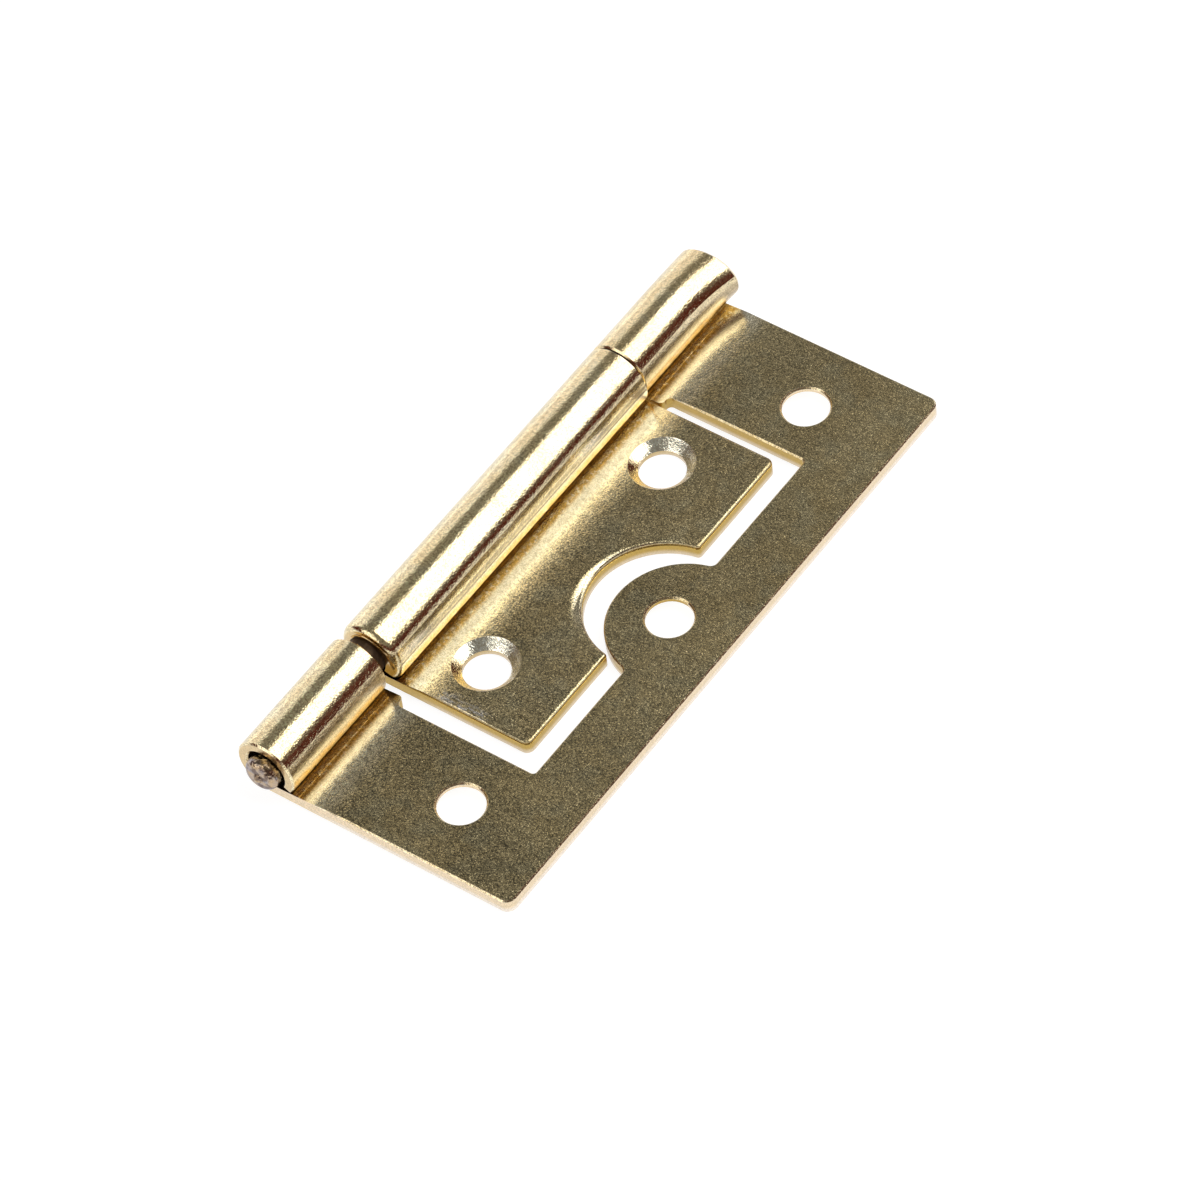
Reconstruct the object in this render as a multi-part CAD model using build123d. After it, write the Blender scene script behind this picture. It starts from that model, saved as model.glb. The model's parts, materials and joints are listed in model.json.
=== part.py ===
from build123d import *
import math
import os

# Flush hinge: an outer leaf with a window, an inner leaf that lies inside it, and the pin they share.
# X runs from the pin to the free edge, Y along the pin, Z up on the side the barrel stands on.
# Origin: middle of the overall box, on the plane that both leaves rest on.

# Sheet, pin and barrel
sheet = 1.3
roll_wall = 0.95
pin_radius = 1.72
pin_clearance = 0.05
seam_gap = 0.1
lip_radius = 3.0
lip_start = 30.0
lip_nose = 0.12
neck_width = 6.0
neck_drop = 0.25
knuckle_swell = 0.35
swell_degrees = 65.0

# Outer leaf plan
leaf_length = 60.0
leaf_reach = 23.7
rim_width = 5.9
arm_width = 11.2
window_shift = 0.3
knuckle_step = 0.95
strip_width = 1.5
corner_round = 0.9
window_round = 0.35

# Tab on the outer leaf, and the screw hole at its middle
tab_radius = 6.3
tab_inset = 1.24
tab_root_round = 0.6

# Inner leaf plan
free_edge_gap = 2.1
near_joint_gap = 1.1
far_joint_gap = 0.25
notch_gap = 2.6
notch_widening = 0.1
inner_corner_round = 0.7
notch_corner_round = 0.35

# Screw holes
hole_radius = 2.0
countersink_radius = 2.85
end_hole_inset = 6.1
end_hole_reach = 14.6
inner_hole_inset = 5.0
inner_hole_reach = 7.9
hole_rim_cut = 0.15

# Rounding left by the punch and the rolling tool
outer_edge_cut = 0.12
inner_die_roll = 0.3
sharp_end_cut = 0.15
soft_end_round = 0.75
bore_mouth_cut = 0.15

# Pin ends: a swollen grip at each end, and a peened stub that stands out of the near knuckle
grip_length = 3.0
stake_depth = 1.2
stub_length = 1.25
stub_radius = 1.56
stub_drop = 0.17
stub_dome = 0.7
nub_radius = 0.55

# Crimp that squeezes the far end of the barrel oval, beyond the end of the pin, and pushes it out
crimp_length = 5.0
crimp_squash = 0.06
crimp_spread = 0.38
crimp_overrun = 1.0
crimp_end_cut = 0.25
early_share = 0.25

# Worked out from the sizes above
half_length = leaf_length / 2
bore_radius = pin_radius + pin_clearance
barrel_radius = bore_radius + roll_wall
pin_middle = Vector(0, barrel_radius)
lip_height = sheet - neck_drop + seam_gap
lip_middle = pin_middle + Vector(barrel_radius - lip_radius, 0).rotate(Axis.Z, lip_start)
wrap_degrees = 270 - lip_start
neck_end = barrel_radius + neck_width
strip_reach = barrel_radius + strip_width
window_reach = leaf_reach - rim_width
window_half = half_length - arm_width
knuckle_end = window_half - knuckle_step
step_round = 0.45 * knuckle_step
tab_center = window_reach + tab_inset
inner_reach = window_reach - free_edge_gap
inner_half = knuckle_end - (near_joint_gap + far_joint_gap) / 2
inner_shift = window_shift + (near_joint_gap - far_joint_gap) / 2
notch_radius = tab_radius + notch_widening
notch_center = tab_center - tab_radius - notch_gap + notch_radius
countersink_depth = countersink_radius - hole_radius
frame_shift = Pos((barrel_radius - leaf_reach) / 2, (stub_length - crimp_overrun) / 2, 0)


def block(x_start, x_end, half_width, shift=0):
    """Flat rectangle between two reaches, centred on the length or shifted along it."""
    return Pos((x_start + x_end) / 2, shift) * Rectangle(x_end - x_start, 2 * half_width)


def round_corners(plan, corners):
    """Round each listed corner of a plan: x, y, radius."""
    for x, y, radius in corners:
        corner = plan.vertices().sort_by_distance((x, y, 0))[0]
        plan = fillet(corner, radius)
    return plan


def across(y):
    """Plane across the pin, seen from its near end: X to the leaf's free edge, Y up."""
    return Plane(origin=(0, y, 0), x_dir=(1, 0, 0), z_dir=(0, -1, 0))


def lip_arc(middle, radius, height):
    """Flatter arc that carries a round on from the lip's start down to a height."""
    end_degrees = math.degrees(math.asin((height - middle.Y) / radius))
    return CenterArc(middle, radius, end_degrees, lip_start - end_degrees)


def roll_face(outside, outer_lip, inside, inner_lip):
    """Rolled sheet across the pin, from edges that start at the lip; its outer corner is blunt."""
    tip = outer_lip @ 0
    toe = tip - Vector(lip_nose, lip_nose)
    ends = [Line(tip, toe), Line(toe, inner_lip @ 0), Line(outside[-1] @ 1, inside @ 1)]
    return make_face(outside + [outer_lip, inside, inner_lip] + ends)


def roll_bore():
    """Inside of a roll: round, with a lip that stays one wall inside the outer one and ends above it."""
    inside = CenterArc(pin_middle, bore_radius, lip_start, wrap_degrees)
    return inside, lip_arc(lip_middle, lip_radius - roll_wall, lip_height + roll_wall / 2)


def round_profile():
    """Plain roll over the pin."""
    outside = CenterArc(pin_middle, barrel_radius, lip_start, wrap_degrees)
    outer_lip = lip_arc(lip_middle, lip_radius, lip_height + lip_nose)
    return roll_face([outside], outer_lip, *roll_bore())


def swollen_profile():
    """Roll with a round bore, its outside stretched flat towards the leaf."""
    stretch = Vector(knuckle_swell, 0).rotate(Axis.Z, swell_degrees - 90)
    front = CenterArc(pin_middle + stretch, barrel_radius, lip_start, swell_degrees - lip_start)
    back = CenterArc(pin_middle, barrel_radius, swell_degrees, 270 - swell_degrees)
    flat = Line(front @ 1, back @ 0)
    outer_lip = lip_arc(lip_middle + stretch, lip_radius, lip_height + lip_nose)
    return roll_face([front, flat, back], outer_lip, *roll_bore())


def tucked_lip(outside, end):
    """Edge that leaves a squeezed round at the lip's start and bends back to a fixed end."""
    bend = outside @ 0 - (outside % 0) * (outside @ 0 - end).length / 2
    return Bezier(end, bend, outside @ 0)


def crimp_profile(share):
    """Roll squeezed lower and spread over the leaf, its lip held back, by a share of the full crimp."""
    spread = share * crimp_spread
    tall = barrel_radius - share * crimp_squash
    outside = EllipticalCenterArc(
        (spread, tall), barrel_radius + spread, tall, lip_start, arc_size=wrap_degrees)
    inside = EllipticalCenterArc(
        (spread, tall), bore_radius + spread, tall - roll_wall, lip_start, arc_size=wrap_degrees)
    tip = lip_arc(lip_middle, lip_radius, lip_height + lip_nose) @ 0
    heel = roll_bore()[1] @ 0
    return roll_face([outside], tucked_lip(outside, tip), inside, tucked_lip(inside, heel))


def rolled(profile, start, end):
    """Profile drawn out along the pin from one place to another."""
    return extrude(across(end) * profile, end - start)


def outside_edges(face):
    """Edges of a roll's end that lie on the barrel's outside, not on its bore, lip or foot."""
    outside = []
    for edge in face.edges():
        point = edge @ 0.5
        off_axis = math.hypot(point.X, point.Z - barrel_radius)
        if off_axis > barrel_radius - lip_nose and point.Z > lip_height + roll_wall / 2:
            outside.append(edge)
    return outside


def near_knuckle():
    """Knuckle at the stub's end, with crisp ends and a widened mouth round the stub."""
    roll = rolled(round_profile(), -half_length, window_shift - knuckle_end)
    for end in (0, -1):
        roll = chamfer(outside_edges(roll.faces().sort_by(Axis.Y)[end]), sharp_end_cut)
    mouth = roll.faces().sort_by(Axis.Y)[0].edges().filter_by(GeomType.CIRCLE).sort_by(SortBy.RADIUS)[0]
    return chamfer(mouth, bore_mouth_cut)


def middle_knuckle():
    """Knuckle of the inner leaf, about the leaf's own middle, with a soft near end."""
    roll = rolled(swollen_profile(), -inner_half, inner_half)
    return fillet(outside_edges(roll.faces().sort_by(Axis.Y)[0]), soft_end_round)


def far_knuckle():
    """Knuckle at the other end: round at first, then squeezed oval to shut the pin in."""
    crimp_start = half_length - crimp_length
    crimp_end = half_length + crimp_overrun
    crimp_middle = (crimp_start + crimp_end) / 2
    roll = rolled(round_profile(), window_shift + knuckle_end, crimp_start)
    roll = chamfer(outside_edges(roll.faces().sort_by(Axis.Y)[0]), sharp_end_cut)
    crimp = loft([
        across(crimp_start) * round_profile(),
        across(crimp_middle) * crimp_profile(early_share),
        across(crimp_end) * crimp_profile(1),
    ])
    end_edges = crimp.faces().sort_by(Axis.Y)[-1].edges()
    return roll + chamfer(end_edges.sort_by(SortBy.LENGTH)[-1], crimp_end_cut)


def neck_cut(half_width):
    """What the plate loses beside the barrel, where the sheet thins down to the rolled wall."""
    bend = ThreePointArc(
        (barrel_radius, sheet - neck_drop),
        (barrel_radius + neck_width / 2, sheet - neck_drop / 4),
        (neck_end, sheet),
    )
    rest = Polyline(bend @ 1, (neck_end, 2 * sheet), (0, 2 * sheet), (0, roll_wall), bend @ 0)
    return extrude(across(half_width) * make_face(bend.edges() + rest.edges()), 2 * half_width)


def top_edges(plate, margin):
    """Edges round a plate's top face, but not the one that runs into the barrel."""
    edges = plate.faces().sort_by(Axis.Z)[-1].outer_wire().edges()
    return [edge for edge in edges if edge.center().X > margin]


def screw_hole(x, y, opens_up):
    """Through hole with a countersink that opens up, or down to the underside with a broken rim on top."""
    through = Pos(x, y, sheet / 2) * Cylinder(hole_radius, 2 * sheet)
    if opens_up:
        sink = Cone(hole_radius, countersink_radius, countersink_depth)
        return through + Pos(x, y, sheet - countersink_depth / 2) * sink
    rim_radius = hole_radius + hole_rim_cut
    rim = Pos(x, y, sheet - hole_rim_cut / 2) * Cone(hole_radius, rim_radius, hole_rim_cut)
    sink = Pos(x, y, countersink_depth / 2) * Cone(countersink_radius, hole_radius, countersink_depth)
    return through + sink + rim


def outer_leaf():
    """C-shaped leaf with a knuckle at each end and a tab that reaches into its window."""
    tab_half = math.sqrt(tab_radius ** 2 - tab_inset ** 2)
    tab = (Pos(tab_center, 0) * Circle(tab_radius)) & block(0, tab_center, tab_radius)
    plan = block(0, leaf_reach, half_length)
    plan -= block(0, strip_reach, knuckle_end, window_shift)
    plan -= block(strip_reach, window_reach, window_half, window_shift)
    plan += tab
    for side in (-1, 1):
        plan = round_corners(plan, [
            (leaf_reach, side * half_length, corner_round),
            (window_reach, window_shift + side * window_half, window_round),
            (strip_reach, window_shift + side * window_half, step_round),
            (strip_reach, window_shift + side * knuckle_end, step_round),
            (window_reach, side * tab_half, tab_root_round),
        ])
    plate = extrude(plan, sheet)
    leaf = chamfer(top_edges(plate, outer_edge_cut), outer_edge_cut) - neck_cut(leaf_length)
    leaf += near_knuckle()
    leaf += far_knuckle()
    for side in (-1, 1):
        leaf -= screw_hole(end_hole_reach, side * (half_length - end_hole_inset), False)
    return leaf - screw_hole(window_reach, 0, False)


def inner_leaf():
    """Leaf that lies in the window: one long knuckle and a notch that clears the tab."""
    notch_half = math.sqrt(notch_radius ** 2 - (notch_center - inner_reach) ** 2)
    plan = block(0, inner_reach, inner_half)
    plan -= Pos(notch_center, 0) * Circle(notch_radius)
    for side in (-1, 1):
        plan = round_corners(plan, [
            (inner_reach, side * inner_half, inner_corner_round),
            (inner_reach, side * notch_half, notch_corner_round),
        ])
    plate = extrude(plan, sheet)
    leaf = fillet(top_edges(plate, inner_die_roll), inner_die_roll) - neck_cut(leaf_length)
    leaf += middle_knuckle()
    for side in (-1, 1):
        leaf -= screw_hole(inner_hole_reach, side * (inner_half - inner_hole_inset), True)
    return Pos(0, inner_shift, 0) * leaf


def rod(radius, y_start, y_end):
    """Round bar along the pin axis."""
    middle = Pos(0, (y_start + y_end) / 2, barrel_radius)
    return middle * Rot(90, 0, 0) * Cylinder(radius, y_end - y_start)


def hinge_pin():
    """Wire pin, swollen where the end knuckles grip it, with a peened stub at the near end."""
    near = -half_length + stake_depth
    far = half_length - crimp_length
    pin = rod(pin_radius, near, far)
    pin += rod(bore_radius, near, near + grip_length)
    pin += rod(bore_radius, far - grip_length, far)
    stub_end = -half_length - stub_length
    stub = rod(stub_radius, stub_end + nub_radius / 2, near)
    rim = stub.edges().filter_by(GeomType.CIRCLE).sort_by(Axis.Y)[0]
    stub = fillet(rim, stub_dome)
    stub += Pos(0, stub_end + nub_radius, barrel_radius) * Sphere(nub_radius)
    return pin + Pos(0, 0, -stub_drop) * stub


os.makedirs("parts", exist_ok=True)
nodes = {"outer_leaf": outer_leaf(), "inner_leaf": inner_leaf(), "hinge_pin": hinge_pin()}
for name, solid in nodes.items():
    export_step(frame_shift * solid, "parts/" + name + ".step")
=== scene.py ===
"""Looks of the flush hinge: finishes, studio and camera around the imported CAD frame."""

import json
import logging
import math
from dataclasses import dataclass, field
from enum import Enum
from typing import Any

import bmesh
import bpy
from mathutils import Matrix, Vector

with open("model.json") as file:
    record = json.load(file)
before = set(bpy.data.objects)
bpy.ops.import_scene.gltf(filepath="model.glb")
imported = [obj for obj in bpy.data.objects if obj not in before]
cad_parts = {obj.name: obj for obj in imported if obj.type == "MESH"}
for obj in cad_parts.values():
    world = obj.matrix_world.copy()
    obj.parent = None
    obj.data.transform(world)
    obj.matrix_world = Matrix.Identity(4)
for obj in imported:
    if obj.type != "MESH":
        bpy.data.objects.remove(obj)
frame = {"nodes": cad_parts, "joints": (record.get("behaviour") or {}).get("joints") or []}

LOG = logging.getLogger("flush_hinge")
MM = 0.001
IMAGE_SIDE = 1181
SENSOR_WIDTH = 36.0
WHITE = (1.0, 1.0, 1.0)
ORIGIN = (0.0, 0.0, 0.0)
MIX_SHARE = 0
MIX_FIRST = 6
MIX_SECOND = 7
MIX_RESULT = 2
MEAN = 0.5

Triple = tuple[float, float, float]
Colour = Triple
Span = tuple[float, float]


class Socket(Enum):
    """Kinds of socket that an effect group takes in or puts out."""

    VALUE = "NodeSocketFloat"
    VECTOR = "NodeSocketVector"


class Graph:
    """Adds and links nodes in one node tree."""

    def __init__(self, tree: bpy.types.NodeTree) -> None:
        """Start from an empty tree.

        Args:
            tree: The node tree to fill.
        """
        self.tree = tree
        tree.nodes.clear()

    def add(self, kind: str, props: dict[str, Any] | None = None, **inputs: Any) -> bpy.types.Node:
        """Add a node, set its properties and feed its inputs.

        Args:
            kind: Blender's name for the node type.
            props: Properties of the node itself.
            inputs: Input name with spaces as underscores, or i0, i1 for a place in the list;
                each value is a socket to link or a constant.

        Returns:
            The new node.
        """
        node = self.tree.nodes.new(kind)
        for key, value in (props or {}).items():
            setattr(node, key, value)
        for key, value in inputs.items():
            place = int(key[1:]) if key[0] == "i" and key[1:].isdigit() else key.replace("_", " ")
            self.feed(node.inputs[place], value)
        return node

    def feed(self, target: bpy.types.NodeSocket, value: Any) -> None:
        """Link a socket or set a constant on an input.

        Args:
            target: The input.
            value: An output socket, a number or a tuple of numbers.
        """
        if isinstance(value, bpy.types.NodeSocket):
            self.tree.links.new(value, target)
        elif isinstance(value, tuple) and target.type == "RGBA":
            target.default_value = (*value, 1.0)
        else:
            target.default_value = value

    def math(self, operation: str, *values: Any, clamp: bool = False) -> bpy.types.NodeSocket:
        """Put a Math node on one to three values.

        Args:
            operation: Blender's name for the operation.
            values: Sockets or numbers.
            clamp: Whether the result stays between 0 and 1.

        Returns:
            The result.
        """
        inputs = {f"i{place}": value for place, value in enumerate(values)}
        node = self.add("ShaderNodeMath", {"operation": operation, "use_clamp": clamp}, **inputs)
        return node.outputs[0]

    def times(self, first: Any, second: Any) -> bpy.types.NodeSocket:
        """Multiply two values."""
        return self.math("MULTIPLY", first, second)

    def less(self, first: Any, second: Any) -> bpy.types.NodeSocket:
        """Take the second value from the first."""
        return self.math("SUBTRACT", first, second)

    def shift(self, value: Any, mask: Any, change: Any) -> bpy.types.NodeSocket:
        """Change a value where a mask is on, in full where the mask is 1."""
        return self.math("MULTIPLY_ADD", mask, change, value)

    def distance(self, across: Any, along: Any) -> bpy.types.NodeSocket:
        """Measure how far a place is from the point where both values are 0."""
        return self.math("SQRT", self.shift(self.times(along, along), across, across))

    def ramp(self, value: Any, span: Span, levels: Span = (0.0, 1.0)) -> bpy.types.NodeSocket:
        """Turn one range of a value smoothly into another.

        Args:
            value: The socket to read.
            span: Where the change starts and where it ends.
            levels: The result at the start and at the end.

        Returns:
            The mapped value.
        """
        node = self.add("ShaderNodeMapRange", {"interpolation_type": "SMOOTHSTEP"}, Value=value,
                        From_Min=span[0], From_Max=span[1], To_Min=levels[0], To_Max=levels[1])
        return node.outputs["Result"]

    def mix(self, share: Any, first: Any, second: Any) -> bpy.types.NodeSocket:
        """Mix two colours.

        Args:
            share: How much of the second colour.
            first: Colour or socket at 0.
            second: Colour or socket at 1.

        Returns:
            The mixed colour.
        """
        node = self.add("ShaderNodeMix", {"data_type": "RGBA"})
        self.feed(node.inputs[MIX_SHARE], share)
        self.feed(node.inputs[MIX_FIRST], first)
        self.feed(node.inputs[MIX_SECOND], second)
        return node.outputs[MIX_RESULT]

    def noise(self, vector: Any, scale: Any, layers: Span) -> bpy.types.NodeSocket:
        """Put a noise on a vector.

        Args:
            vector: Where the noise is read.
            scale: Cells for each unit of the vector.
            layers: How many finer layers are added, and their weight.

        Returns:
            The noise value, from 0 to 1.
        """
        node = self.add("ShaderNodeTexNoise", None, Vector=vector, Scale=scale,
                        Detail=layers[0], Roughness=layers[1])
        return node.outputs["Fac"]

    def scale(self, vector: Any, factor: Any) -> bpy.types.NodeSocket:
        """Multiply a vector or a colour by one number."""
        node = self.add("ShaderNodeVectorMath", {"operation": "SCALE"}, Vector=vector, Scale=factor)
        return node.outputs[0]

    def stretch(self, vector: Any, factors: Any) -> bpy.types.NodeSocket:
        """Multiply a vector or a colour part by part."""
        node = self.add("ShaderNodeVectorMath", {"operation": "MULTIPLY"}, i0=vector, i1=factors)
        return node.outputs[0]

    def axes(self, vector: Any) -> Any:
        """Split a vector into X, Y and Z."""
        return self.add("ShaderNodeSeparateXYZ", None, Vector=vector).outputs

    def effect(self, tree: bpy.types.NodeTree, **inputs: Any) -> Any:
        """Put in a shared effect group and return its outputs."""
        return self.add("ShaderNodeGroup", {"node_tree": tree}, **inputs).outputs

    def surface(self, shader: bpy.types.Node) -> None:
        """Make a shader the surface of the material."""
        self.feed(self.add("ShaderNodeOutputMaterial").inputs["Surface"], shader.outputs[0])

    def metal(self, tone: Any, rough: Any, height: Any, depth: float) -> None:
        """Make the surface a bare metal.

        Args:
            tone: Base colour.
            rough: Roughness.
            height: Height of the bump, where 1 stands for the depth.
            depth: Depth of the bump in metres.
        """
        bump = self.add("ShaderNodeBump", None, Strength=1.0, Distance=depth, Height=height)
        self.surface(self.add("ShaderNodeBsdfPrincipled", None, Base_Color=tone, Metallic=1.0,
                              Roughness=rough, Normal=bump.outputs[0]))


def new_material(name: str) -> tuple[bpy.types.Material, Graph]:
    """Make an empty node material.

    Args:
        name: The material's name.

    Returns:
        The material and the graph of its nodes.
    """
    made = bpy.data.materials.new(name)
    made.use_nodes = True
    return made, Graph(made.node_tree)


@dataclass(frozen=True)
class EffectGroup:
    """A shader node group that several finishes share, with the defaults of its inputs."""

    name: str
    inputs: dict[str, float | Triple]

    def start(self) -> tuple[Graph, Any]:
        """Make the group with its inputs.

        Returns:
            The group's graph and the sockets it is given.
        """
        tree = bpy.data.node_groups.new(self.name, "ShaderNodeTree")
        for name, default in self.inputs.items():
            kind = Socket.VECTOR if isinstance(default, tuple) else Socket.VALUE
            socket = tree.interface.new_socket(name=name, in_out="INPUT", socket_type=kind.value)
            socket.default_value = default
        graph = Graph(tree)
        return graph, graph.add("NodeGroupInput").outputs

    @staticmethod
    def put_out(graph: Graph, results: dict[str, bpy.types.NodeSocket]) -> bpy.types.NodeTree:
        """Give the group its outputs.

        Args:
            graph: The group's graph.
            results: What each output gives.

        Returns:
            The group's tree.
        """
        for name, result in results.items():
            kind = Socket.VECTOR if result.type == "VECTOR" else Socket.VALUE
            graph.tree.interface.new_socket(name=name, in_out="OUTPUT", socket_type=kind.value)
        out = graph.add("NodeGroupOutput")
        for name, result in results.items():
            graph.feed(out.inputs[name], result)
        return graph.tree


@dataclass(frozen=True)
class SheetRegions:
    """Tells the regions of a rolled leaf apart.

    Lengths are in millimetres, from the pin's axis and its middle, and heights from the floor.
    A tilt is one part of the surface normal.
    """

    pin_axis: Vector
    seam_reach: float = 2.7
    barrel_height: Span = (1.35, 1.5)
    behind_pin: Span = (-0.1, -0.4)
    right_of_pin: Span = (-0.5, 0.5)
    neck_reach: Span = (7.2, 4.2)
    sag_reach: Span = (3.15, 7.8)
    plate_reach: Span = (7.2, 23.7)
    plate_length: Span = (30.0, -30.0)
    fold_height: float = 2.45
    fold_fade: Span = (2.0, 0.0)
    window_ends: Span = (19.6, 19.4)
    window_edge: Span = (18.3, 18.1)
    foot_height: Span = (0.65, 0.13)
    foot_reach: Span = (3.5, 8.0)
    seam_gap: Span = (0.25, -0.05)
    crook_gap: Span = (1.25, 0.7)
    sink_reach: float = 7.9
    sink_middle: float = 0.725
    sink_along: float = 12.175
    sink_rim: Span = (3.1, 3.0)
    dish_slope: Span = (2.0, 2.85)
    notch_reach: float = 16.54
    notch_radius: float = 6.4
    notch_roll: Span = (0.85, 0.0)
    notch_fade: Span = (-6.0, 0.5)
    upward_tilt: Span = (0.5, 0.8)
    seen_tilt: Span = (0.0, 0.3)
    cone_top_tilt: Span = (0.95, 0.88)
    cone_foot_tilt: Span = (0.5, 0.62)
    steep_tilt: Span = (0.85, 0.4)
    bevel_tilt: Span = (0.97, 0.8)
    # Painted highlight: this share of the flats' painted shade is taken off bevelled edges.
    bevel_highlight_share: float = 0.6
    end_tilt: Span = (0.8, 0.95)
    lip_tilt: Span = (0.88, 0.985)
    far_tilt: Span = (-0.15, 0.3)

    def build(self) -> bpy.types.NodeTree:
        """Make the group.

        Returns:
            The group's tree, with the place in millimetres and a mask for each region.
        """
        graph, given = EffectGroup("Sheet Regions", {"Seam Reach": self.seam_reach}).start()
        coords = graph.add("ShaderNodeTexCoord").outputs
        place = graph.scale(coords["Object"], 1 / MM)
        spot = graph.axes(place)
        tilt = graph.axes(coords["Normal"])
        reach = graph.less(spot["X"], self.pin_axis.x / MM)
        middle = graph.less(spot["Y"], self.pin_axis.y / MM)
        level = graph.math("ABSOLUTE", tilt["Z"])
        upward = graph.ramp(tilt["Z"], self.upward_tilt)
        barrel = graph.math("MAXIMUM", graph.ramp(spot["Z"], self.barrel_height),
                            graph.ramp(reach, self.behind_pin))
        sheet = graph.less(1.0, barrel)
        upper = graph.times(sheet, upward)
        away = self.from_sink(graph, reach, middle)
        cone = graph.times(graph.ramp(level, self.cone_top_tilt), graph.ramp(level, self.cone_foot_tilt))
        sink = graph.times(cone, graph.ramp(away, self.sink_rim))
        steep = graph.math("SUBTRACT", graph.ramp(level, self.steep_tilt), sink, clamp=True)
        cut_end = graph.ramp(graph.math("ABSOLUTE", tilt["Y"]), self.end_tilt)
        wall = graph.math("MAXIMUM", graph.times(steep, sheet), cut_end)
        neck = graph.times(graph.ramp(reach, self.neck_reach), upper)
        formed = graph.math("MAXIMUM", graph.math("MAXIMUM", wall, neck), sink)
        flat = graph.math("SUBTRACT", sheet, formed, clamp=True)
        bevel = graph.ramp(level, self.bevel_tilt)
        foot = graph.times(graph.ramp(spot["Z"], self.foot_height), graph.ramp(reach, self.foot_reach))
        window = graph.times(graph.ramp(graph.math("ABSOLUTE", middle), self.window_ends),
                             graph.ramp(reach, self.window_edge))
        beyond = graph.less(reach, given["Seam Reach"])
        off_fold = graph.math("ABSOLUTE", graph.less(spot["Z"], self.fold_height))
        fold = graph.times(graph.ramp(off_fold, self.fold_fade), graph.ramp(reach, self.right_of_pin))
        dish = graph.times(graph.ramp(away, self.dish_slope), graph.ramp(tilt["Z"], self.seen_tilt))
        return EffectGroup.put_out(graph, {
            "Place": place,
            "Barrel": barrel,
            "Wall": wall,
            "Neck": neck,
            # Painted highlight: bevels get less of the flats' painted shade, so the edges come out lighter.
            "Flat": graph.times(flat, graph.shift(1.0, bevel, -self.bevel_highlight_share)),
            "Lip": graph.times(graph.ramp(tilt["X"], self.lip_tilt), barrel),
            "Seam": graph.times(graph.ramp(beyond, self.seam_gap), upper),
            "Sink": sink,
            "Foot": foot,
            "Window": window,
            "Sag": graph.times(graph.ramp(reach, self.sag_reach), upward),
            "Fold": fold,
            "Crook": graph.times(graph.ramp(beyond, self.crook_gap), neck),
            "Far Facing": graph.ramp(tilt["Y"], self.far_tilt),
            "Notch Rim": graph.times(self.notch_rim(graph, reach, middle), upward),
            "Dish": dish,
            "Reach": graph.ramp(reach, self.plate_reach),
            "Near Share": graph.ramp(middle, self.plate_length),
        })

    def from_sink(self, graph: Graph, reach: Any, middle: Any) -> bpy.types.NodeSocket:
        """Measure how far a place is from the axis of the nearer countersink.

        Args:
            graph: The group's graph.
            reach: Distance from the pin.
            middle: Distance from the pin's middle.

        Returns:
            The distance.
        """
        along = graph.math("ABSOLUTE", graph.less(middle, self.sink_middle))
        return graph.distance(graph.less(reach, self.sink_reach), graph.less(along, self.sink_along))

    def notch_rim(self, graph: Graph, reach: Any, middle: Any) -> bpy.types.NodeSocket:
        """Tell where the rim of the notch is rolled over, which fades towards its near end.

        Args:
            graph: The group's graph.
            reach: Distance from the pin.
            middle: Distance from the pin's middle.

        Returns:
            The mask.
        """
        outside = graph.less(graph.distance(graph.less(reach, self.notch_reach), middle), self.notch_radius)
        return graph.times(graph.ramp(outside, self.notch_roll), graph.ramp(middle, self.notch_fade))


@dataclass(frozen=True)
class PlatingGrain:
    """Orange-peel grain, speckle and cloudy tone of thin plating."""

    peel_layers: Span = (1.0, 0.5)
    grit_scale: float = 2.1
    grit_layers: Span = (1.0, 0.6)
    mottle_scale: float = 0.36
    mottle_layers: Span = (2.0, 0.6)
    ripple_scale: float = 0.22
    ripple_layers: Span = (1.0, 0.5)
    cloud_layers: Span = (4.0, 0.65)
    peel_share: float = 0.6
    mottle_share: float = 0.35
    speckle_span: Span = (0.7, 1.25)
    cloud_span: Span = (0.35, 0.65)

    def build(self) -> bpy.types.NodeTree:
        """Make the group.

        Returns:
            The group's tree: Speckle and Cloud are masks, Height and Grit feed a bump.
        """
        graph, given = EffectGroup("Plating Grain", {
            "Place": ORIGIN, "Grain Scale": 5.0, "Cloud Scale": 0.3, "Ripple": 0.5}).start()
        place, scale = given["Place"], given["Grain Scale"]
        peel = graph.noise(place, scale, self.peel_layers)
        grit = graph.noise(place, graph.times(scale, self.grit_scale), self.grit_layers)
        mottle = graph.noise(place, graph.times(scale, self.mottle_scale), self.mottle_layers)
        ripple = graph.noise(place, graph.times(scale, self.ripple_scale), self.ripple_layers)
        cloud = graph.noise(place, given["Cloud Scale"], self.cloud_layers)
        specks = graph.shift(graph.shift(grit, peel, self.peel_share), mottle, self.mottle_share)
        return EffectGroup.put_out(graph, {
            "Speckle": graph.ramp(specks, self.speckle_span),
            "Cloud": graph.ramp(cloud, self.cloud_span),
            "Height": graph.shift(peel, ripple, given["Ripple"]),
            "Grit": grit,
        })


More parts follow.
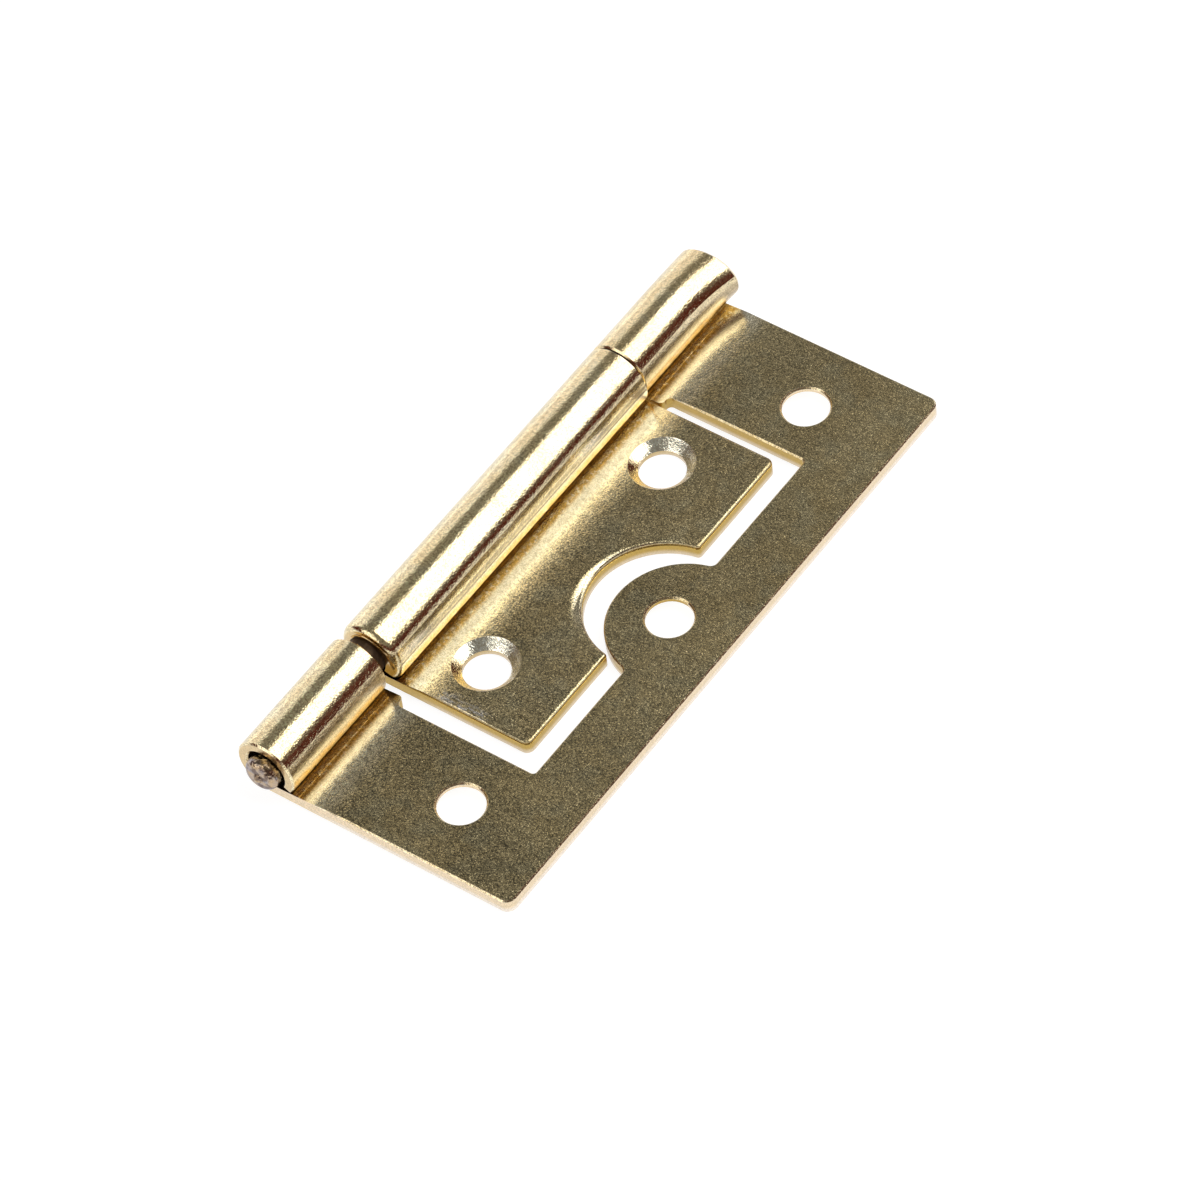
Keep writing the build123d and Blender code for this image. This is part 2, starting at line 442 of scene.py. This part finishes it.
@dataclass(frozen=True)
class EdgeRub:
    """Plating rubbed thin along edges and corners."""

    reach: float = 0.16 * MM
    samples: int = 6
    edge_span: Span = (0.995, 0.9)
    broken_scale: float = 1.6
    broken_layers: Span = (4.0, 0.7)
    broken_span: Span = (0.38, 0.62)

    def build(self) -> bpy.types.NodeTree:
        """Make the group.

        Returns:
            The group's tree: Rub is 1 where the edge is bare.
        """
        graph, given = EffectGroup("Edge Rub", {"Place": ORIGIN, "Amount": 0.6}).start()
        bevel = graph.add("ShaderNodeBevel", {"samples": self.samples}, Radius=self.reach)
        plain = graph.add("ShaderNodeNewGeometry")
        turn = graph.add("ShaderNodeVectorMath", {"operation": "DOT_PRODUCT"},
                         i0=bevel.outputs[0], i1=plain.outputs["Normal"])
        edge = graph.ramp(turn.outputs["Value"], self.edge_span)
        broken = graph.noise(given["Place"], self.broken_scale, self.broken_layers)
        broken = graph.times(graph.ramp(broken, self.broken_span), given["Amount"])
        return EffectGroup.put_out(graph, {"Rub": graph.times(edge, broken)})


@dataclass(frozen=True)
class DieLines:
    """Lines that the rolling die drew along the barrel, and the crease pressed into the lip."""

    stretch: Triple = (1.0, 0.03, 1.0)
    line_layers: Span = (2.0, 0.6)
    line_span: Span = (0.48, 0.7)
    wander_scale: float = 8.0
    wander_layers: Span = (2.0, 0.5)
    wander: float = 0.16
    crease_span: Span = (0.12, 0.03)

    def build(self) -> bpy.types.NodeTree:
        """Make the group.

        Returns:
            The group's tree: Lines is a streaky mask, Crease one line at a height in millimetres.
        """
        graph, given = EffectGroup("Die Lines", {
            "Place": ORIGIN, "Scale": 6.0, "Crease Height": 2.4}).start()
        drawn = graph.stretch(given["Place"], self.stretch)
        lines = graph.noise(drawn, given["Scale"], self.line_layers)
        sway = graph.less(graph.noise(drawn, self.wander_scale, self.wander_layers), MEAN)
        height = graph.shift(graph.axes(given["Place"])["Z"], sway, self.wander)
        off = graph.math("ABSOLUTE", graph.less(height, given["Crease Height"]))
        return EffectGroup.put_out(graph, {
            "Lines": graph.ramp(lines, self.line_span),
            "Crease": graph.ramp(off, self.crease_span),
        })


@dataclass
class Effects:
    """Every shared effect group, built once."""

    pin_axis: Vector
    regions: bpy.types.NodeTree = field(init=False)
    grain: bpy.types.NodeTree = field(init=False)
    rub: bpy.types.NodeTree = field(init=False)
    lines: bpy.types.NodeTree = field(init=False)

    def __post_init__(self) -> None:
        """Build the groups."""
        self.regions = SheetRegions(self.pin_axis).build()
        self.grain = PlatingGrain().build()
        self.rub = EdgeRub().build()
        self.lines = DieLines().build()


@dataclass(frozen=True)
class Scuff:
    """A patch of streaks rubbed along an edge that runs across the pin, in millimetres."""

    edge: float
    start: float
    end: float
    width: float = 1.6
    inset: float = 0.3
    fade_in: Span = (-0.8, 0.4)
    fade_out: Span = (1.6, 0.0)
    upper: Span = (0.8, 1.2)
    depth: float = 0.09
    stretch: Triple = (0.35, 1.0, 1.0)
    streak_scale: float = 3.6
    streak_layers: Span = (3.0, 0.65)
    streak_span: Span = (0.44, 0.6)

    def mask(self, graph: Graph, place: bpy.types.NodeSocket) -> bpy.types.NodeSocket:
        """Tell where the streaks are.

        Args:
            graph: The material's graph.
            place: The place in millimetres.

        Returns:
            The mask.
        """
        spot = graph.axes(place)
        beside = graph.ramp(spot["Y"], (self.edge + self.width, self.edge + self.inset))
        begun = graph.ramp(spot["X"], (self.start + self.fade_in[0], self.start + self.fade_in[1]))
        ended = graph.ramp(spot["X"], (self.end + self.fade_out[0], self.end + self.fade_out[1]))
        upper = graph.ramp(spot["Z"], self.upper)
        return graph.times(graph.times(beside, upper), graph.times(begun, ended))

    def streaks(self, graph: Graph, place: bpy.types.NodeSocket) -> bpy.types.NodeSocket:
        """Make the height of the streaks, from 0 to 1."""
        return graph.noise(graph.stretch(place, self.stretch), self.streak_scale, self.streak_layers)


@dataclass(frozen=True)
class Masks:
    """What the shared groups tell about a plated surface."""

    region: Any
    grain: Any
    drawn: Any
    rub: bpy.types.NodeSocket
    rim: bpy.types.NodeSocket


@dataclass(frozen=True)
class BrassPlating:
    """Satin brass plating on rolled steel sheet. Lengths are in millimetres."""

    name: str
    seam_reach: float
    crease_height: float
    sag: float
    fold: float
    lip_tone: Colour
    notch_depth: float = 0.0
    dish_depth: float = 0.0
    scuff: Scuff | None = None
    bright: Colour = (0.88, 0.735, 0.44)
    deep: Colour = (0.80, 0.645, 0.36)
    cool: Colour = (0.78, 0.69, 0.45)
    bare: Colour = (0.95, 0.86, 0.68)
    # Painted highlight: pale cream on the neck beside the barrel and on the notch rim.
    neck_painted_highlight: Colour = (0.96, 0.91, 0.73)
    cut: Colour = (0.86, 0.69, 0.44)
    # Painted shade: deeper gold on the cut walls inside the window, for the shaded gap they face.
    window_wall_shade: Colour = (0.52, 0.35, 0.09)
    ring_cut: Colour = (0.72, 0.55, 0.29)
    # Painted shade: deeper gold on the half of each countersink that faces +Y.
    sink_painted_shade: Colour = (0.62, 0.42, 0.12)
    pale_foot: Colour = (0.96, 0.87, 0.74)
    polished: Colour = (0.95, 0.88, 0.70)
    # Painted shade and reflection: flecked brown in the crook beside the seam, where the barrel is mirrored
    # and shades the sheet.
    crook_painted_shade: Colour = (0.62, 0.41, 0.12)
    grey_rub: Colour = (0.66, 0.64, 0.58)
    # Painted shade: dark brown in the seam under the lip.
    seam_painted_shade: Colour = (0.30, 0.20, 0.09)
    # Painted shade: the flats are multiplied by this colour.
    flat_painted_shade: Colour = (0.535, 0.535, 0.495)
    cool_scale: float = 2.3
    cool_layers: Span = (3.0, 0.5)
    cool_span: Span = (0.45, 0.7)
    cool_share: float = 0.7
    foot_shares: Span = (0.8, 0.45)
    neck_highlight_share: float = 0.9
    lip_share: float = 0.8
    seam_shade_share: float = 0.6
    fleck_scale: float = 3.2
    fleck_layers: Span = (3.0, 0.7)
    fleck_span: Span = (0.28, 0.52)
    # Painted shade laid over the whole lip.
    lip_painted_shade: float = 0.18
    # Darkening by the die lines, which are drawn marks, and by the crease, which is painted shade.
    mark_and_crease_shade: float = 0.42
    line_share: float = 0.5
    lip_heights: Span = (2.0, 2.5)
    lip_levels: Span = (0.2, 0.9)
    # Painted light: the flats grow lighter towards the free edge.
    reach_painted_light: float = 0.14
    cloudy_scale: float = 0.6
    cloudy_layers: Span = (2.0, 0.5)
    cloudy_depth: float = 0.56
    speckle_depth: float = 1.25
    far_speckle: float = 0.78
    near_speckle: float = 0.5
    bent_speckle: float = 0.5
    wall_speckle: float = -0.35
    sheet_roughness: float = 0.21
    barrel_roughness: float = 0.14
    neck_roughness: float = 0.13
    lip_roughness: float = 0.30
    wall_roughness: float = 0.20
    sink_roughness: float = 0.12
    rim_polish: float = 0.4
    cloud_polish: float = 0.04
    rub_polish: float = 0.04
    grain_scale: float = 5.4
    cloud_scale: float = 0.22
    ripple: float = 0.6
    rub_amount: float = 0.7
    line_scale: float = 6.0
    rim_span: Span = (0.0, 0.5)
    grain_depth: float = 0.030
    barrel_calm: float = 0.42
    neck_calm: float = 0.8
    wall_calm: float = 0.5
    rim_calm: float = 0.6
    least_grain: float = 0.2
    grit_share: float = 0.6
    neck_grit: float = -0.8
    barrel_grit: float = -0.6
    wall_grit: float = -0.35
    rim_grit: float = -0.4

    def material(self, effects: Effects) -> bpy.types.Material:
        """Make the finish.

        Args:
            effects: The shared groups.

        Returns:
            The material.
        """
        made, graph = new_material(self.name)
        region = graph.effect(effects.regions, Seam_Reach=self.seam_reach)
        place = region["Place"]
        rolled = 1.0 if self.notch_depth else 0.0
        masks = Masks(
            region=region,
            grain=graph.effect(effects.grain, Place=place, Grain_Scale=self.grain_scale,
                               Cloud_Scale=self.cloud_scale, Ripple=self.ripple),
            drawn=graph.effect(effects.lines, Place=place, Scale=self.line_scale,
                               Crease_Height=self.crease_height),
            rub=graph.effect(effects.rub, Place=place, Amount=self.rub_amount)["Rub"],
            rim=graph.ramp(region["Notch Rim"], self.rim_span, (0.0, rolled)))
        tone = self.tone(graph, masks)
        height = self.height(graph, masks)
        if self.scuff:
            rubbed = graph.times(self.scuff.mask(graph, place), region["Flat"])
            streaks = self.scuff.streaks(graph, place)
            height = graph.shift(height, graph.times(streaks, rubbed), self.scuff.depth / self.grain_depth)
            share = graph.times(rubbed, graph.ramp(streaks, self.scuff.streak_span))
            tone = graph.mix(share, tone, self.grey_rub)
        graph.metal(tone, self.roughness(graph, masks), height, self.grain_depth * MM)
        return made

    def height(self, graph: Graph, masks: Masks) -> bpy.types.NodeSocket:
        """Shape the surface: grain that is calmer where the sheet was worked, and the shallow forms.

        Args:
            graph: The material's graph.
            masks: What the shared groups tell.

        Returns:
            The height, in depths of the grain.
        """
        region = masks.region
        calm = 1.0
        fine = self.grit_share
        for mask, smoothed, grit in ((region["Barrel"], self.barrel_calm, self.barrel_grit),
                                     (region["Neck"], self.neck_calm, self.neck_grit),
                                     (region["Wall"], self.wall_calm, self.wall_grit),
                                     (masks.rim, self.rim_calm, self.rim_grit)):
            calm = graph.shift(calm, mask, -smoothed)
            fine = graph.shift(fine, mask, grit * self.grit_share)
        height = graph.times(masks.grain["Height"], graph.math("MAXIMUM", calm, self.least_grain))
        height = graph.shift(height, masks.grain["Grit"], fine)
        height = graph.shift(height, graph.times(masks.drawn["Crease"], region["Lip"]), -1.0)
        for name, rise in (("Sag", self.sag), ("Fold", -self.fold),
                           ("Notch Rim", -self.notch_depth), ("Dish", -self.dish_depth)):
            height = graph.shift(height, region[name], rise / self.grain_depth)
        return height

    def tone(self, graph: Graph, masks: Masks) -> bpy.types.NodeSocket:
        """Colour the plating: cloudy brass with cooler patches, painted shade on the flats, and bare on
        edges.

        Args:
            graph: The material's graph.
            masks: What the shared groups tell.

        Returns:
            The base colour.
        """
        region = masks.region
        # Painted highlight: the notch rim is partly spared from the flats' painted shade.
        flat = graph.times(region["Flat"], graph.shift(1.0, masks.rim, -self.rim_calm))
        tone = graph.mix(masks.grain["Cloud"], self.deep, self.bright)
        patch = graph.noise(region["Place"], self.cloud_scale * self.cool_scale, self.cool_layers)
        tone = graph.mix(graph.ramp(patch, self.cool_span, (0.0, self.cool_share)), tone, self.cool)
        tone = graph.mix(region["Wall"], tone, self.cut_tone(graph, region))
        # Painted shade: the +Y-facing half of each countersink is deeper gold than the polished half.
        sink = graph.mix(region["Far Facing"], self.polished, self.sink_painted_shade)
        tone = graph.mix(region["Sink"], tone, sink)
        # Painted highlight: the neck and the rolled notch rim are turned pale cream.
        formed = graph.math("MAXIMUM", region["Neck"], graph.times(masks.rim, flat))
        tone = graph.mix(graph.times(formed, self.neck_highlight_share), tone, self.neck_painted_highlight)
        tone = graph.mix(graph.times(region["Lip"], self.lip_share), tone, self.lip_tone)
        # Painted shade and reflection of the barrel: flecked brown in the crook beside the seam.
        flecks = graph.noise(region["Place"], self.fleck_scale, self.fleck_layers)
        flecks = graph.ramp(flecks, self.fleck_span)
        tone = graph.mix(graph.times(region["Crook"], flecks), tone, self.crook_painted_shade)
        # Painted shade: the flats are multiplied darker, less where bevels and the notch rim lift the mask.
        tone = graph.stretch(tone, graph.mix(flat, WHITE, self.flat_painted_shade))
        unshaded = graph.less(1.0, self.lip_shade_and_lines(graph, masks))
        tone = graph.scale(tone, graph.times(self.light(graph, masks, flat), unshaded))
        tone = graph.mix(masks.rub, tone, self.bare)
        # Painted shade: the seam under the lip is darkened.
        return graph.mix(graph.times(region["Seam"], self.seam_shade_share), tone, self.seam_painted_shade)

    def cut_tone(self, graph: Graph, region: Any) -> bpy.types.NodeSocket:
        """Colour the cut walls: painted shade of deeper gold in the window, paler at the foot, browner on
        the knuckles' ends.

        Args:
            graph: The material's graph.
            region: Outputs of the region group.

        Returns:
            The colour.
        """
        # Painted shade: the walls inside the window are deeper gold.
        tone = graph.mix(region["Window"], self.cut, self.window_wall_shade)
        share = graph.ramp(region["Window"], (0.0, 1.0), self.foot_shares)
        tone = graph.mix(graph.times(region["Foot"], share), tone, self.pale_foot)
        return graph.mix(region["Barrel"], tone, self.ring_cut)

    def lip_shade_and_lines(self, graph: Graph, masks: Masks) -> bpy.types.NodeSocket:
        """Tell how much the lip is darkened: painted shade over the lip and in its crease, and drawn die
        lines, less so towards the sheet.

        Args:
            graph: The material's graph.
            masks: What the shared groups tell.

        Returns:
            The dimming, from 0 to 1.
        """
        lines = graph.times(masks.drawn["Lines"], self.line_share)
        marks = graph.math("MAXIMUM", lines, masks.drawn["Crease"])
        # Painted shade over the lip and in its crease, with the drawn die lines.
        shade_and_lines = graph.shift(self.lip_painted_shade, marks, self.mark_and_crease_shade)
        height = graph.axes(masks.region["Place"])["Z"]
        shade_and_lines = graph.times(shade_and_lines, graph.ramp(height, self.lip_heights, self.lip_levels))
        return graph.times(masks.region["Lip"], shade_and_lines)

    def light(self, graph: Graph, masks: Masks, flat: bpy.types.NodeSocket) -> bpy.types.NodeSocket:
        """Tell how light the plating is: speckled all over, cloudy, and with painted light growing outwards
        on the flats.

        Args:
            graph: The material's graph.
            masks: What the shared groups tell.
            flat: Where the sheet is flat.

        Returns:
            What the colour is multiplied by.
        """
        region = masks.region
        speckle = graph.times(graph.less(masks.grain["Speckle"], MEAN), self.speckle_depth)
        nearness = graph.shift(self.far_speckle, region["Near Share"], self.near_speckle)
        speckle = graph.times(speckle, nearness)
        calm = graph.shift(self.bent_speckle, flat, 1.0 - self.bent_speckle)
        calm = graph.shift(calm, region["Wall"], self.wall_speckle)
        cloudy = graph.noise(region["Place"], self.cloud_scale * self.cloudy_scale, self.cloudy_layers)
        cloudy = graph.times(graph.less(cloudy, MEAN), flat)
        # Painted light: lighter towards the free edge, darker towards the barrel.
        reached = graph.times(graph.less(region["Reach"], MEAN), flat)
        light = graph.shift(1.0, cloudy, self.cloudy_depth)
        light = graph.shift(light, reached, self.reach_painted_light)
        return graph.shift(light, speckle, calm)

    def roughness(self, graph: Graph, masks: Masks) -> bpy.types.NodeSocket:
        """Set the roughness of each region, lower where the plating is bright or rubbed.

        Args:
            graph: The material's graph.
            masks: What the shared groups tell.

        Returns:
            The roughness.
        """
        region = masks.region
        dullest = self.sheet_roughness + self.cloud_polish / 2
        rough = graph.shift(dullest, masks.grain["Cloud"], -self.cloud_polish)
        for name, change in (("Barrel", self.barrel_roughness - self.sheet_roughness),
                             ("Neck", self.neck_roughness - self.sheet_roughness),
                             ("Wall", self.wall_roughness - self.sheet_roughness),
                             ("Sink", self.sink_roughness - self.sheet_roughness),
                             ("Lip", self.lip_roughness - self.barrel_roughness)):
            rough = graph.shift(rough, region[name], change)
        rough = graph.shift(rough, masks.rim, self.rim_polish * (self.neck_roughness - self.sheet_roughness))
        return graph.shift(rough, masks.rub, -self.rub_polish)


@dataclass(frozen=True)
class PeenedWire:
    """Drawn steel wire, painted dark brown inside the barrel as shade, with a hammered and slightly brassy
    end.

    Lengths are in millimetres.
    """

    name: str
    head_end: float
    steel: Colour = (0.36, 0.32, 0.31)
    stain: Colour = (0.15, 0.10, 0.075)
    brassy: Colour = (0.62, 0.45, 0.25)
    # Painted shade: dark brown on the wire inside the barrel.
    shaft_painted_shade: Colour = (0.10, 0.065, 0.04)
    grain_scale: float = 3.0
    cloud_scale: float = 0.9
    ripple: float = 1.0
    grain_share: float = 0.15
    head_fade: float = 0.1
    stain_scale: float = 1.4
    stain_layers: Span = (4.0, 0.7)
    stain_span: Span = (0.45, 0.6)
    stain_share: float = 0.85
    roughness: float = 0.19
    stain_dulling: float = 0.12
    shaft_dulling: float = 0.35
    dent_scale: float = 1.5
    dent_layers: Span = (2.0, 0.5)
    dent_depth: float = 0.14

    def material(self, effects: Effects) -> bpy.types.Material:
        """Make the finish.

        Args:
            effects: The shared groups.

        Returns:
            The material.
        """
        made, graph = new_material(self.name)
        place = graph.effect(effects.regions)["Place"]
        grain = graph.effect(effects.grain, Place=place, Grain_Scale=self.grain_scale,
                             Cloud_Scale=self.cloud_scale, Ripple=self.ripple)
        inside = graph.ramp(graph.axes(place)["Y"],
                            (self.head_end - self.head_fade, self.head_end + self.head_fade))
        stain = graph.ramp(graph.noise(place, self.stain_scale, self.stain_layers), self.stain_span)
        tone = graph.mix(grain["Cloud"], self.steel, self.brassy)
        tone = graph.mix(graph.times(stain, self.stain_share), tone, self.stain)
        # Painted shade: the wire inside the barrel is dark brown.
        tone = graph.mix(inside, tone, self.shaft_painted_shade)
        rough = graph.shift(self.roughness, stain, self.stain_dulling)
        rough = graph.shift(rough, inside, self.shaft_dulling)
        dents = graph.noise(place, self.dent_scale, self.dent_layers)
        height = graph.shift(dents, grain["Height"], self.grain_share)
        graph.metal(tone, rough, height, self.dent_depth * MM)
        return made


@dataclass
class HingePiece:
    """One CAD node and the finish it wears."""

    node: bpy.types.Object
    finish: BrassPlating | PeenedWire

    def dress(self, effects: Effects) -> bpy.types.Object:
        """Put the finish on the piece.

        Args:
            effects: The shared groups.

        Returns:
            The dressed piece.
        """
        self.node.data.materials[0] = self.finish.material(effects)
        return self.node


@dataclass
class HingeLeaf(HingePiece):
    """One rolled leaf, with its knuckles."""

    finish: BrassPlating


@dataclass
class HingePin(HingePiece):
    """The staked wire that both leaves turn on."""

    finish: PeenedWire


@dataclass(frozen=True)
class Softbox:
    """A rectangular lamp that faces the hinge."""

    name: str
    sweep: float
    along: float
    wide: float
    tall: float
    radiance: float
    colour: Colour = WHITE
    distance: float = 0.6

    def place(self) -> bpy.types.Object:
        """Make the lamp. Sweep is its angle about the pin, along how far it leans towards +Y.

        Returns:
            The lamp.
        """
        round_pin = math.sqrt(1 - self.along ** 2)
        angle = math.radians(self.sweep)
        towards = Vector((round_pin * math.cos(angle), self.along, round_pin * math.sin(angle)))
        across = Vector((-math.sin(angle), 0.0, math.cos(angle)))
        lamp = bpy.data.lights.new(self.name, "AREA")
        lamp.shape = "RECTANGLE"
        lamp.size = self.wide
        lamp.size_y = self.tall
        lamp.color = self.colour
        lamp.energy = self.radiance * math.pi * self.wide * self.tall
        made = bpy.data.objects.new(self.name, lamp)
        turned = Matrix((across, towards.cross(across), towards)).transposed().to_4x4()
        made.matrix_world = Matrix.Translation(towards * self.distance) @ turned
        made.visible_camera = False
        bpy.context.scene.collection.objects.link(made)
        return made


@dataclass
class Studio:
    """Pale floor with a raised rim, softboxes and a dim room."""

    floor_radius: float = 1.2
    floor_sides: int = 96
    rim_steps: int = 6
    rim_rise: float = 0.12
    floor_colour: Colour = (0.26, 0.26, 0.26)
    floor_glow: float = 0.90
    floor_tint: Colour = (0.92, 0.93, 1.0)
    room_low: Colour = (0.085, 0.018, 0.012)
    room_high: Colour = (0.215, 0.208, 0.196)
    room_span: Span = (0.3, 0.7)
    softboxes: tuple[Softbox, ...] = (
        Softbox("key_softbox", sweep=68.8, along=0.475, wide=0.488, tall=0.56, radiance=2.4),
        Softbox("left_softbox", sweep=160.0, along=0.475, wide=0.48, tall=0.84, radiance=0.9,
                colour=(0.93, 0.95, 1.0)),
        Softbox("near_softbox", sweep=117.0, along=-0.81, wide=0.44, tall=0.40, radiance=1.5),
    )

    def build(self) -> None:
        """Make the floor, the lamps and the room."""
        self.build_floor()
        for softbox in self.softboxes:
            softbox.place()
        self.build_room()

    def build_floor(self) -> bpy.types.Object:
        """Make the floor disc and sweep its rim up.

        Returns:
            The floor.
        """
        shape = bmesh.new()
        bmesh.ops.create_circle(shape, cap_ends=True, segments=self.floor_sides, radius=self.floor_radius)
        edges = [edge for edge in shape.edges if edge.is_boundary]
        for step in range(1, self.rim_steps + 1):
            lean = math.pi / 2 * step / self.rim_steps
            grown = bmesh.ops.extrude_edge_only(shape, edges=edges)["geom"]
            verts = [item for item in grown if isinstance(item, bmesh.types.BMVert)]
            edges = [item for item in grown if isinstance(item, bmesh.types.BMEdge)]
            reach = self.floor_radius + self.rim_rise * math.sin(lean)
            height = self.rim_rise * (1 - math.cos(lean))
            for vert in verts:
                flat = Vector((vert.co.x, vert.co.y, 0.0)).normalized() * reach
                vert.co = (flat.x, flat.y, height)
        bmesh.ops.recalc_face_normals(shape, faces=shape.faces)
        data = bpy.data.meshes.new("floor")
        shape.to_mesh(data)
        shape.free()
        data.materials.append(self.floor_material())
        floor = bpy.data.objects.new("floor", data)
        bpy.context.scene.collection.objects.link(floor)
        return floor

    def floor_material(self) -> bpy.types.Material:
        """Make the white floor, which keeps a soft shadow.

        Returns:
            The material.
        """
        made, graph = new_material("white_floor")
        path = graph.add("ShaderNodeLightPath").outputs
        seen = graph.math("MAXIMUM", path["Is Camera Ray"], path["Is Glossy Ray"])
        seen = graph.math("MAXIMUM", seen, path["Is Transmission Ray"])
        white = graph.mix(path["Is Camera Ray"], self.floor_tint, WHITE)
        strength = graph.times(seen, self.floor_glow)
        glow = graph.add("ShaderNodeEmission", None, Color=white, Strength=strength)
        paper = graph.add("ShaderNodeBsdfDiffuse", None, Color=self.floor_colour)
        graph.surface(graph.add("ShaderNodeAddShader", None, i0=glow.outputs[0], i1=paper.outputs[0]))
        return made

    def build_room(self) -> None:
        """Make the dim room: brownish at the horizon and grey above."""
        world = bpy.data.worlds.new("dim_room")
        bpy.context.scene.world = world
        world.use_nodes = True
        graph = Graph(world.node_tree)
        height = graph.axes(graph.add("ShaderNodeTexCoord").outputs["Generated"])["Z"]
        colour = graph.mix(graph.ramp(height, self.room_span), self.room_low, self.room_high)
        back = graph.add("ShaderNodeBackground", None, Color=colour, Strength=1.0)
        output = graph.add("ShaderNodeOutputWorld")
        graph.feed(output.inputs["Surface"], back.outputs[0])


@dataclass(frozen=True)
class PhotoCamera:
    """Camera at the photograph's viewing angle, fitted to the hinge's edges and holes."""

    azimuth: float = 47.60
    elevation: float = 50.09
    roll: float = 8.84
    distance: float = 590.0 * MM
    focal_pixels: float = 7345.0
    target_reach: float = 10.01 * MM
    target_along: float = -0.21 * MM
    clip: Span = (0.01, 20.0)

    def build(self, pin_axis: Vector) -> bpy.types.Object:
        """Make the camera and use it.

        Args:
            pin_axis: Middle of the pin's axis.

        Returns:
            The camera.
        """
        turn, lift, roll = (math.radians(angle) for angle in (self.azimuth, self.elevation, self.roll))
        back = Vector((math.cos(lift) * math.cos(turn), -math.cos(lift) * math.sin(turn), math.sin(lift)))
        target = Vector((pin_axis.x + self.target_reach, pin_axis.y + self.target_along, 0.0))
        right = (-back).cross(Vector((0.0, 0.0, 1.0))).normalized()
        up = right.cross(-back)
        rolled_right = right * math.cos(roll) - up * math.sin(roll)
        rolled_up = right * math.sin(roll) + up * math.cos(roll)
        data = bpy.data.cameras.new("photo_camera")
        data.sensor_width = SENSOR_WIDTH
        data.lens = self.focal_pixels / IMAGE_SIDE * SENSOR_WIDTH
        data.clip_start, data.clip_end = self.clip
        camera = bpy.data.objects.new("photo_camera", data)
        axes = Matrix((rolled_right, rolled_up, back)).transposed().to_4x4()
        camera.matrix_world = Matrix.Translation(target + back * self.distance) @ axes
        bpy.context.scene.collection.objects.link(camera)
        bpy.context.scene.camera = camera
        return camera


def hinge_pieces(pin_axis: Vector) -> list[HingePiece]:
    """Pair each CAD node with its finish.

    Args:
        pin_axis: Middle of the pin's axis.

    Returns:
        The pieces, not yet dressed.
    """
    pin_x, pin_y = pin_axis.x / MM, pin_axis.y / MM
    nodes = frame["nodes"]
    outer_finish = BrassPlating(
        "outer_leaf_brass", seam_reach=2.65, crease_height=1.75, sag=0.03, fold=-0.03,
        lip_tone=(0.84, 0.67, 0.42), lip_painted_shade=0.36)
    inner_finish = BrassPlating(
        "inner_leaf_brass", seam_reach=3.0, crease_height=2.72, sag=0.35, fold=0.15,
        lip_tone=(0.95, 0.86, 0.68), notch_depth=0.26, dish_depth=0.11, flat_painted_shade=(0.59, 0.59, 0.55),
        scuff=Scuff(edge=pin_y - 16.45, start=pin_x + 6.6, end=pin_x + 10.4))
    return [
        HingeLeaf(nodes["outer_leaf"], outer_finish),
        HingeLeaf(nodes["inner_leaf"], inner_finish),
        HingePin(nodes["hinge_pin"], PeenedWire("pin_steel", head_end=pin_y - 29.0)),
    ]


def main() -> None:
    """Dress the hinge and set the studio round it."""
    logging.basicConfig(level=logging.INFO, format="%(name)s: %(message)s")
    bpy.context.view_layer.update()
    pin_axis = Vector(frame["joints"][0]["pos_m"])
    effects = Effects(pin_axis)
    for piece in hinge_pieces(pin_axis):
        dressed = piece.dress(effects)
        LOG.info("dressed %s", dressed.name)
    Studio().build()
    PhotoCamera().build(pin_axis)
    bpy.context.scene.view_settings.view_transform = "Standard"


if __name__ == "__main__":
    main()
